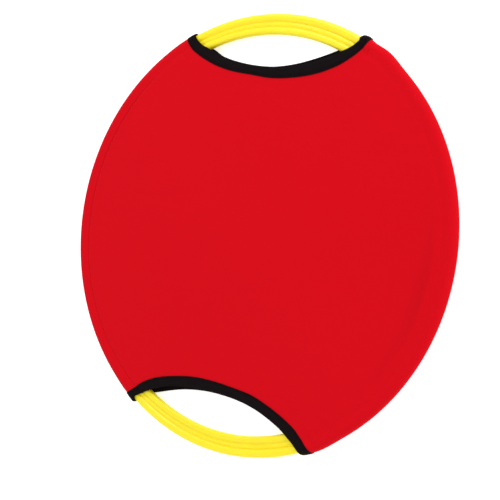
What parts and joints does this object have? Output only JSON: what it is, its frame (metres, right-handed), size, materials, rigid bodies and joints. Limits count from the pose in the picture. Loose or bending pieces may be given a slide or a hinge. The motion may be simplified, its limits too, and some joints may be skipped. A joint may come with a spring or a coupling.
{
  "type": "catch paddle",
  "caption": "Round throw and catch paddle: a grooved plastic hoop in a stretched knit cover, with curved bound mouths that bare the hoop as grips.",
  "frame": {"origin": "centre of the disc, on the plane that its back rests on", "axes": "+Z out of the front face, +Y towards the top grip, +X to the right of a person who looks at the front"},
  "size_m": [0.3832, 0.3798, 0.0118],
  "materials": {
    "hoop_plastic": "moulded yellow polyethylene, soft gloss",
    "red_knit": "fine ribbed stretch knit",
    "red_thread": "polyester overlock thread",
    "black_tape": "woven elastic binding tape",
    "black_thread": "polyester sewing thread"
  },
  "bodies": {
    "hoop": {"hoop": "hoop_plastic"},
    "cover": {"front_panel": "red_knit", "back_panel": "red_knit", "left_seam_thread": "red_thread", "right_seam_thread": "red_thread", "top_binding": "black_tape", "bottom_binding": "black_tape", "top_binding_thread": "black_thread", "bottom_binding_thread": "black_thread"}
  },
  "joints": [
    {"name": "cover_turn", "type": "hinge", "parent": "hoop", "child": "cover", "pos_m": [0, 0, 0.0059], "axis": [0, 0, 1], "continuous": true}
  ]
}
